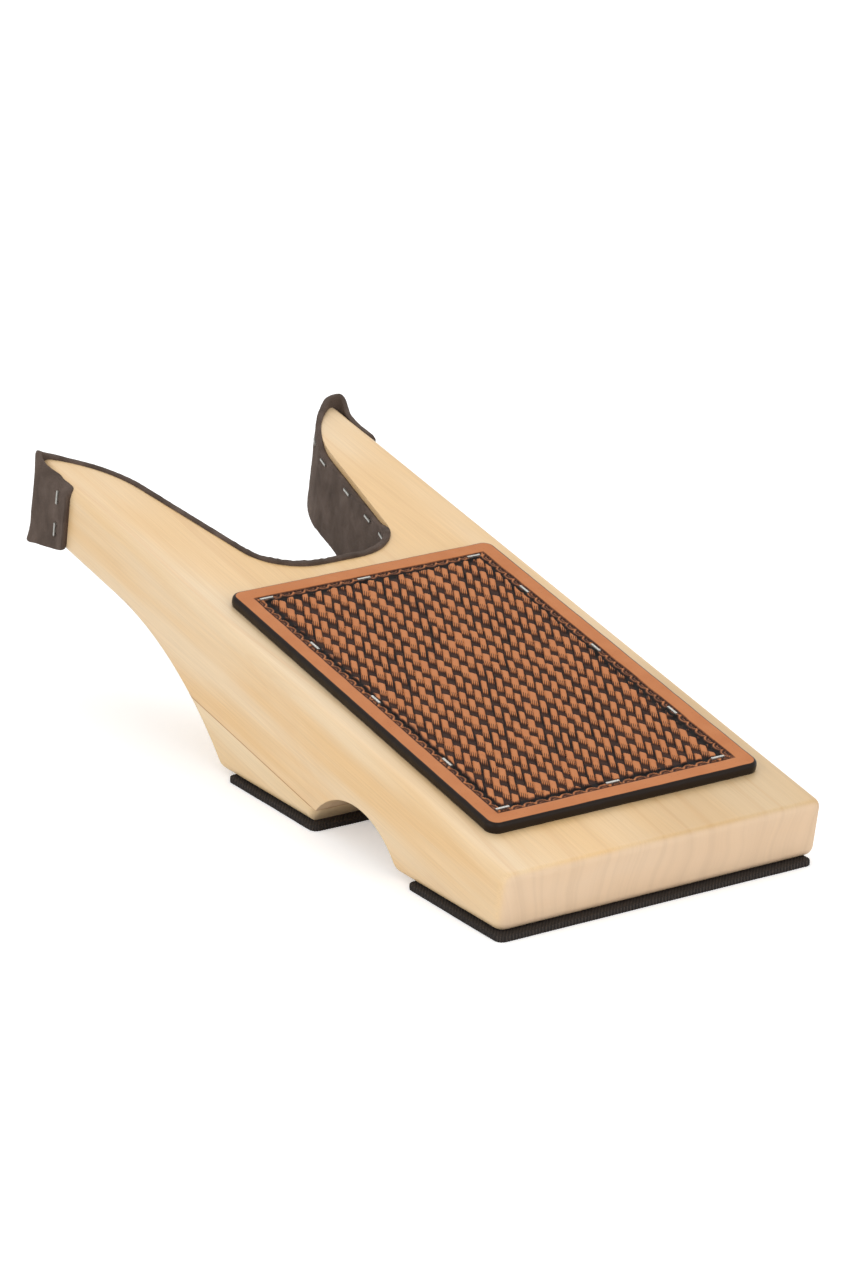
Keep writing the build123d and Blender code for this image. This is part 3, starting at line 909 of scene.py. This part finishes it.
closed = np.vstack([outline, outline[:1]])
lengths = measure(closed)
even_points = resample(closed, lengths, np.arange(0, lengths[-1], OUTLINE_STEP))
beyond = (np.abs(even_points[:, 0]) > BOARD_WIDTH / 2 - 0.3) & (even_points[:, 1] < FLAP_END)
stop = np.argmax(beyond)
back = len(beyond) - np.argmax(beyond[::-1])
path = np.vstack([even_points[back - 1 :], even_points[: stop + 1]])
if path[0, 0] > 0:
    path = path[::-1]
length = measure(path)
STRIP_LENGTH = length[-1]
stations = np.linspace(0, STRIP_LENGTH, int(STRIP_LENGTH / STATION_STEP))
line = resample(path, length, stations)
middle = len(line) // 2
THROAT = line[middle, 1]
tangent = np.gradient(line, axis=0)
tangent /= np.linalg.norm(tangent, axis=1, keepdims=True)
normal = np.stack([-tangent[:, 1], tangent[:, 0]], -1)
if normal[middle, 1] < 0:
    normal = -normal
normal = relax(normal, 6)
normal /= np.linalg.norm(normal, axis=1, keepdims=True)
print(f"strip {STRIP_LENGTH:.1f} mm long, {len(line)} stations")

# %% [markdown]
# Each station gets a closed section: down the nap side, round the cut lower edge, up the wood side
# and round the top edge. The nap side swells and dips by a few tenths of a millimetre, with dimples
# where staples pull it in, and both cut edges wander.

# %% Strip mesh
# The rise of the peaks at the tips and how far it reaches, right and left, in mm.
BROAD_RISE, BROAD_REACH = (3.8, 0.6), (20, 12)
SHARP_RISE, SHARP_REACH = (0.8, 3.9), 2.0
FLAP_RISE, FLAP_REACH = (6.0, 5.9), 3.8
THROAT_RISE = 0.5
END_CORNER = 2.2
SECTION_ROWS = 44
EDGE_BULGE = 0.45
SWELLS = ((0.16, 7, 35), (0.08, 2.1, 36), (0.05, 0.9, 37))  # height, size and seed
CURL, CURL_DEPTH, CURL_HEIGHT = 1.0, 24, 9
STAPLE_REACH = 4
DIMPLE_DEPTH, DIMPLE_LENGTH, DIMPLE_HEIGHT = 0.05, 2.0, 1.6


def tube_faces(index):
    """Join each ring of points to the next with four-sided faces."""
    ahead = np.roll(index, -1, axis=1)
    return np.stack([index[:-1], ahead[:-1], ahead[1:], index[1:]], -1).reshape(-1, 4)


outside_flap = relax((np.abs(line[:, 0]) > BOARD_WIDTH / 2 - 0.4).astype(float), 12)
u = line[:, 1]
right = line[:, 0] > 0
from_corner = np.hypot(BOARD_WIDTH / 2 - np.abs(line[:, 0]), BOARD_LENGTH - u)
in_throat = 1 - smooth(THROAT + 6, THROAT + 30, u)

# Top edge: a little proud of the wood, peaked at the tips, and sagging along the right arm.
broad = np.clip(1 - from_corner / np.where(right, *BROAD_REACH), 0, 1)
peak = np.where(right, *BROAD_RISE) * broad
peak = peak + np.where(right, *SHARP_RISE) * np.exp(-from_corner / SHARP_REACH)
sag = smooth(THROAT + 10, THROAT + 24, u)
sag = sag * (1 - smooth(BOARD_LENGTH - 34, BOARD_LENGTH - 16, u))
top_edge = LINING_PROUD + THROAT_RISE * in_throat + peak - sag * np.where(right, RIGHT_SAG, 0)
flap_top = -FLAP_TOP_GAP + np.where(right, *FLAP_RISE) * np.exp(-from_corner / FLAP_REACH)
top_edge = top_edge * (1 - outside_flap) + flap_top * outside_flap

# Lower edge: level inside the jaw, and rising to the flaps' ends.
flap_share = np.clip((BOARD_LENGTH - u) / (BOARD_LENGTH - FLAP_END), 0, 1)
foot = -LINING_FOOT + (LINING_FOOT - FLAP_END_DEPTH) * flap_share * outside_flap

# Scissor work: both edges wander, and the strip's corners are rounded.
level = stations * 0
ragged = bumps(stations, level, 1.5, 31) + bumps(stations, level, 4.5, 32)
ragged = (0.07 + 0.26 * in_throat) * ragged
into_end = np.clip(END_CORNER - np.minimum(stations, STRIP_LENGTH - stations), 0, END_CORNER)
corner = END_CORNER - np.sqrt(np.clip(END_CORNER**2 - into_end**2, 0, None))
top_edge = top_edge + ragged * 0.8 - corner
foot = foot + 0.12 * bumps(stations, level, 2.2, 33) + 0.3 * bumps(stations, level, 14, 34)
foot = foot + corner * 0.8

# A section's points: side is 1 on the nap and -1 on the wood, down goes from 0 at the top edge to
# 1 at the lower one, and past says how far a cut edge bulges.
half_thick = LINING_THICKNESS / 2
share = np.linspace(0, 1, SECTION_ROWS)
round_edge = np.radians([40, 80, 100, 140])
section = [(1.0, s, 0.0) for s in share]
section += [(math.cos(a), 1.0, math.sin(a)) for a in round_edge]
section += [(-1.0, s, 0.0) for s in share[::-1]]
section += [(-math.cos(a), 0.0, -math.sin(a)) for a in round_edge]
section = np.array(section)
side, down, past = (section[:, i][None, :] for i in range(3))
on_nap = side > 0.9
depth = top_edge[:, None] - (top_edge - foot)[:, None] * down - past * EDGE_BULGE
run = np.repeat(stations[:, None], section.shape[0], 1)
swell = sum(height * bumps(run, depth, size, seed) for height, size, seed in SWELLS)
out = half_thick + side * half_thick + swell * on_nap

# The flaps roll over the wood's rounded arris, and the strip curls away under the tips.
roll_over = np.clip(depth + ARRIS_RADIUS, 0, ARRIS_RADIUS * 0.97)
inset = ARRIS_RADIUS - np.sqrt(ARRIS_RADIUS**2 - roll_over**2)
on_arris = outside_flap * (1 - smooth(BOARD_LENGTH - 16, BOARD_LENGTH - 1, u))
out = out - inset * on_arris[:, None]
below = np.clip((-depth - CURL_DEPTH) / CURL_HEIGHT, 0, 1) ** 2
out = out + CURL * below * smooth(BOARD_LENGTH - 14, BOARD_LENGTH, u)[:, None]
for row in ("jaw_staples_left", "jaw_staples_right", "flap_staples_left", "flap_staples_right"):
    wires = slope_points(row)
    gap = np.linalg.norm(line[:, None, :] - wires[None, :, :2], axis=2)
    near = gap.min(0) < STAPLE_REACH
    for station, wire in zip(gap[:, near].argmin(0), wires[near]):
        along = (run - stations[station]) / DIMPLE_LENGTH
        press = np.exp(-(along**2) - ((depth - wire[2]) / DIMPLE_HEIGHT) ** 2)
        out = np.where(on_nap, out - DIMPLE_DEPTH * press, out)

x = line[:, :1] + normal[:, :1] * out
y = line[:, 1:] + normal[:, 1:] * out
strip_points = np.stack([x, y, depth], -1)
rows, around = strip_points.shape[:2]
index = np.arange(rows * around).reshape(rows, around)
caps = [index[0][::-1].tolist(), index[-1].tolist()]
strip_mesh = bpy.data.meshes.new("suede_jaw_lining")
quads = tube_faces(index).tolist()
strip_mesh.from_pydata(strip_points.reshape(-1, 3).tolist(), [], quads + caps)
strip_mesh.transform(SLOPE)
fixed = bmesh.new()
fixed.from_mesh(strip_mesh)
bmesh.ops.triangulate(fixed, faces=[f for f in fixed.faces if len(f.verts) > 4])
bmesh.ops.recalc_face_normals(fixed, faces=fixed.faces)
fixed.to_mesh(strip_mesh)
fixed.free()
cut_share = (np.abs(section[:, 0]) < 0.99) & (np.abs(section[:, 2]) > 0)
cut_values = np.repeat(cut_share[None, :], rows, 0).astype(float)
cut_values[0], cut_values[-1] = 1, 1
keep_values(strip_mesh, "cut_edge", cut_values.ravel())
strip_mesh.polygons.foreach_set("use_smooth", [True] * len(strip_mesh.polygons))
lining = place_object("suede_jaw_lining", strip_mesh)
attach(lining, "root")
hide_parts("jaw_lining")
print(f"suede strip {rows} by {around}, {len(strip_mesh.polygons)} faces")

# %% [markdown]
# Suede has no shine of its own. What shows is its nap: lighter where it lies towards the light and
# darker where it leans away. That light and shade is painted into the colour, in soft patches that
# run up and down the strip. Sheen gives the pale halo that short fibres show at a glancing angle.
# The cut edges are a little darker, since there the light goes in between the fibres and is lost.

# %% Suede material
suede, tree = new_material("brushed_dark_suede_split")
flat = in_millimetres(tree)
# Soft patches of painted light and shade, as the nap catches the light.
painted_nap_light_space = add(tree, "Mapping", {}, {"Vector": flat, "Scale": (1 / 8, 1 / 8, 1 / 12)})
patches = add(tree, "TexNoise", {}, {
    "Vector": painted_nap_light_space,
    "Scale": 1,
    "Detail": 3,
    "Roughness": 0.5,
    "Distortion": 0.3,
})
nap = add(tree, "TexNoise", {}, {"Vector": flat, "Scale": 2.4, "Detail": 4, "Roughness": 0.75})
both = add(tree, "Mix", NUMBER_MIX, {"Factor": 0.42, NUMBER_A: patches, NUMBER_B: nap})
shades = add(tree, "ValToRGB", {}, {"Fac": both}, [
    (0.3, "#453A34"),
    (0.47, "#574A42"),
    (0.6, "#665850"),
    (0.75, "#7B6D63"),
])
cut_edge = add(tree, "Attribute", {"attribute_name": "cut_edge"})
cut_dark = add(tree, "Math", {"operation": "MULTIPLY"}, {0: cut_edge.outputs["Fac"], 1: 0.12})
coloured = add(tree, "Mix", COLOUR_MIX, {
    "Factor": cut_dark,
    COLOUR_A: shades,
    COLOUR_B: linear("#2B2421"),
})
fibre = add(tree, "TexNoise", {}, {"Vector": flat, "Scale": 5.5, "Detail": 3, "Roughness": 0.7})
relief = add(tree, "Bump", {}, {"Height": fibre, "Strength": 0.7, "Distance": 0.00022})
surface = add(tree, "BsdfPrincipled", {}, {
    "Base Color": coloured,
    "Roughness": 0.95,
    "Normal": relief,
    "Specular IOR Level": 0.2,
    "Sheen Weight": 0.25,
    "Sheen Roughness": 0.5,
    "Sheen Tint": linear("#8C7D72"),
})
add(tree, "OutputMaterial", {}, {"Surface": surface})
wear(lining, suede)

# %% [markdown]
# ## Foam-rubber foot pads
#
# The pads are cut with a knife from ribbed sheet foam, so their tops and undersides carry fine
# diagonal ribs about 1 mm apart, and their cut sides show the ribs' ends. The ribs are in the mesh
# along the sides, and in a bump on the flat faces, where they are too many to model. Their crests
# are also painted a little lighter, a painted highlight.

# %% Foot pads
RIB_PITCH = 1.05
RIB_DEPTH = 0.11
RIB_LEAN = 0.8
PAD_CORNER = 3.0
CORNER_POINTS = 7
SIDE_STEP = 0.26
FLAT_INSET = 1.6
rubber, tree = new_material("ribbed_black_foam_rubber")
flat = in_millimetres(tree, along_slope=False)
ribs = []
for angle in (38, -38):
    turned = add(tree, "Mapping", {}, {"Vector": flat, "Rotation": (0, 0, math.radians(angle))})
    ribs.append(add(tree, "TexWave", LINES, {
        "Vector": turned,
        "Scale": WAVES_PER_MM / RIB_PITCH,
    }))
crossed = add(tree, "Math", {"operation": "MULTIPLY"}, {
    0: ribs[0].outputs["Fac"],
    1: ribs[1].outputs["Fac"],
})
cells = add(tree, "TexNoise", {}, {"Vector": flat, "Scale": 2.8, "Detail": 3, "Roughness": 0.7})
shades = add(tree, "ValToRGB", {}, {
    "Fac": cells,
}, [
    (0.3, "#191512"),
    (0.55, "#26201D"),
    (0.75, "#332C28"),
])
# The ribs' crests are painted lighter: a painted highlight on the black foam.
painted_rib_highlights = add(tree, "Mix", {"data_type": "RGBA", "blend_type": "ADD"}, {
    "Factor": crossed,
    COLOUR_A: shades,
    COLOUR_B: linear("#3A332E"),
})
rib_height = add(tree, "Math", {"operation": "MULTIPLY_ADD"}, {0: crossed, 1: 2.0, 2: cells})
relief = add(tree, "Bump", {}, {"Height": rib_height, "Strength": 0.8, "Distance": 0.00015})
surface = add(tree, "BsdfPrincipled", {}, {
    "Base Color": painted_rib_highlights,
    "Roughness": 0.78,
    "Normal": relief,
    "Specular IOR Level": 0.35,
})
add(tree, "OutputMaterial", {}, {"Surface": surface})


def foot_pad(node, name, seed):
    """Build a pad with rounded corners and ribbed sides in the place of a CAD pad."""
    low, high = (np.array(v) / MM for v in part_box(node))
    middle, half = (low[:2] + high[:2]) / 2, (high[:2] - low[:2]) / 2
    ring = []
    for sx, sy, first in ((1, -1, -90), (1, 1, 0), (-1, 1, 90), (-1, -1, 180)):
        hub = np.array([sx, sy]) * (half - PAD_CORNER)
        for angle in np.radians(np.linspace(first, first + 90, CORNER_POINTS)):
            ring.append(hub + PAD_CORNER * np.array([math.cos(angle), math.sin(angle)]))
    ring = np.array(ring + ring[:1])
    far = measure(ring)
    steps = np.linspace(0, far[-1], int(far[-1] / SIDE_STEP), endpoint=False)
    loop = resample(ring, far, steps)
    ahead = np.roll(loop, -1, axis=0) - np.roll(loop, 1, axis=0)
    out = np.stack([ahead[:, 1], -ahead[:, 0]], -1)
    out /= np.linalg.norm(out, axis=1, keepdims=True)
    thick = high[2] - low[2]

    # Each level of the side: its share of the height, and how far out of the outline it lies.
    levels = [(0.0, -0.08), (0.05, 0.0), (0.5, 0.06), (0.95, 0.0), (1.0, -0.08)]
    levels = [(0.0, -FLAT_INSET), *levels, (1.0, -FLAT_INSET)]
    wall = []
    for share, push in levels:
        on_side = push > -FLAT_INSET
        leaning = steps + share * thick * RIB_LEAN
        rib = RIB_DEPTH * np.cos(2 * math.pi * leaning / RIB_PITCH) - RIB_DEPTH
        amount = push + rib * on_side + 0.12 * bumps(steps, steps * 0 + share, 11, seed)
        level = np.full(len(loop), low[2] + share * thick)
        wall.append(np.column_stack([loop + out * amount[:, None] + middle, level]))
    index = np.arange(len(loop) * len(levels)).reshape(len(levels), len(loop))
    quads = tube_faces(index).tolist()
    caps = [index[0][::-1].tolist(), index[-1].tolist()]
    mesh = bpy.data.meshes.new(name)
    mesh.from_pydata((np.concatenate(wall) * MM).tolist(), [], quads + caps)
    mesh.polygons.foreach_set("use_smooth", [True] * len(quads) + [False] * len(caps))
    pad = place_object(name, mesh)
    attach(pad, "root")
    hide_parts(node)
    wear(pad, rubber)
    print(name, len(mesh.polygons), "faces")


foot_pad("tail_foot_pad", "ribbed_tail_foot_pad", 41)
foot_pad("riser_foot_pad", "ribbed_riser_foot_pad", 42)

# %% [markdown]
# ## Wire staples
#
# The staples are drawn steel wire with a bright galvanised skin, and flattened crowns. A small
# bevel rounds their corners, as drawing leaves them, and catches a thin highlight.

# %% Staples
WIRE_ROUNDING = 0.18
wire, tree = new_material("galvanised_staple_wire")
flat = in_millimetres(tree, along_slope=False)
scratches = add(tree, "TexNoise", {}, {"Vector": flat, "Scale": 2.2, "Detail": 4, "Roughness": 0.7})
shades = add(tree, "ValToRGB", {}, {
    "Fac": scratches,
}, [
    (0.3, "#8E8C86"),
    (0.5, "#BDBCB6"),
    (0.7, "#E0DFDA"),
])
dull = add(tree, "MapRange", {}, {"Value": scratches, "To Min": 0.25, "To Max": 0.5})
relief = add(tree, "Bump", {}, {"Height": scratches, "Strength": 0.4, "Distance": 0.00006})
surface = add(tree, "BsdfPrincipled", {}, {
    "Base Color": shades,
    "Metallic": 0.9,
    "Roughness": dull,
    "Normal": relief,
})
add(tree, "OutputMaterial", {}, {"Surface": surface})
staple_nodes = [name for name in frame["nodes"] if "staples" in name]
for name in staple_nodes:
    node = frame["nodes"][name]
    wear(node, wire)
    rounding = node.modifiers.new("drawn_wire_rounding", "BEVEL")
    rounding.width = WIRE_ROUNDING * MM
    rounding.segments = 2
    rounding.limit_method = "ANGLE"
print(len(staple_nodes), "staple rows")

# %% [markdown]
# ## Floor and light
#
# The jack stands on a white studio sweep. The floor is a plain pale surface that keeps a soft
# shadow, and the lamps are big so that nothing has a hard edge: one softbox overhead and behind,
# which rakes the tooling and gives the leather its shine, and two more, lower down, that fill the
# sides that the camera sees. Only what the camera sees of the floor and world is lifted to white,
# so the jack itself is lit at a plain level.


# %% Floor, world and lamps
FLOOR_HALF_WIDTH = 6
FLOOR_LIFT = 0.35
WORLD_STRENGTH = 0.8


def softbox(name, place, size, power):
    """Hang a square area lamp that points at the middle of the jack."""
    lamp = place_object(name, bpy.data.lights.new(name, "AREA"))
    lamp.data.shape = "SQUARE"
    lamp.data.size = size
    lamp.data.energy = power
    lamp.location = place
    lamp.rotation_mode = "QUATERNION"
    lamp.rotation_quaternion = (aim - Vector(place)).to_track_quat("-Z", "Y")


softbox("overhead_softbox", (0.6, 0.7, 1.7), 1.3, 6.5)
softbox("side_fill", (-1.8, -0.5, 0.7), 1.6, 7)
softbox("front_fill", (0.3, -1.9, 0.7), 1.4, 6)

floor_mesh = bmesh.new()
bmesh.ops.create_grid(floor_mesh, x_segments=1, y_segments=1, size=FLOOR_HALF_WIDTH)
floor = place_object("studio_floor", bpy.data.meshes.new("studio_floor"))
floor_mesh.to_mesh(floor.data)
floor_mesh.free()

floor_paint, tree = new_material("white_matt_sweep")
rays = add(tree, "LightPath")
seen = add(tree, "Math", {"operation": "MULTIPLY"}, {
    0: rays.outputs["Is Camera Ray"],
    1: FLOOR_LIFT,
})
matt = add(tree, "BsdfDiffuse", {}, {"Color": linear("#F4F4F4")})
lift = add(tree, "Emission", {}, {"Color": linear("#FFFFFF"), "Strength": seen})
both = add(tree, "AddShader", {}, {0: matt, 1: lift})
add(tree, "OutputMaterial", {}, {"Surface": both})
wear(floor, floor_paint)

world = bpy.data.worlds.new("studio")
bpy.context.scene.world = world
world.use_nodes = True
tree = world.node_tree
tree.nodes.clear()
rays = add(tree, "LightPath")
soft = add(tree, "Background", {}, {"Color": linear("#FFFFFF"), "Strength": WORLD_STRENGTH})
white = add(tree, "Background", {}, {"Color": linear("#FFFFFF"), "Strength": 1.0})
chosen = add(tree, "MixShader", {}, {0: rays.outputs["Is Camera Ray"], 1: soft, 2: white})
add(tree, "OutputWorld", {}, {0: chosen})
print("three softboxes, a white sweep and a soft world")
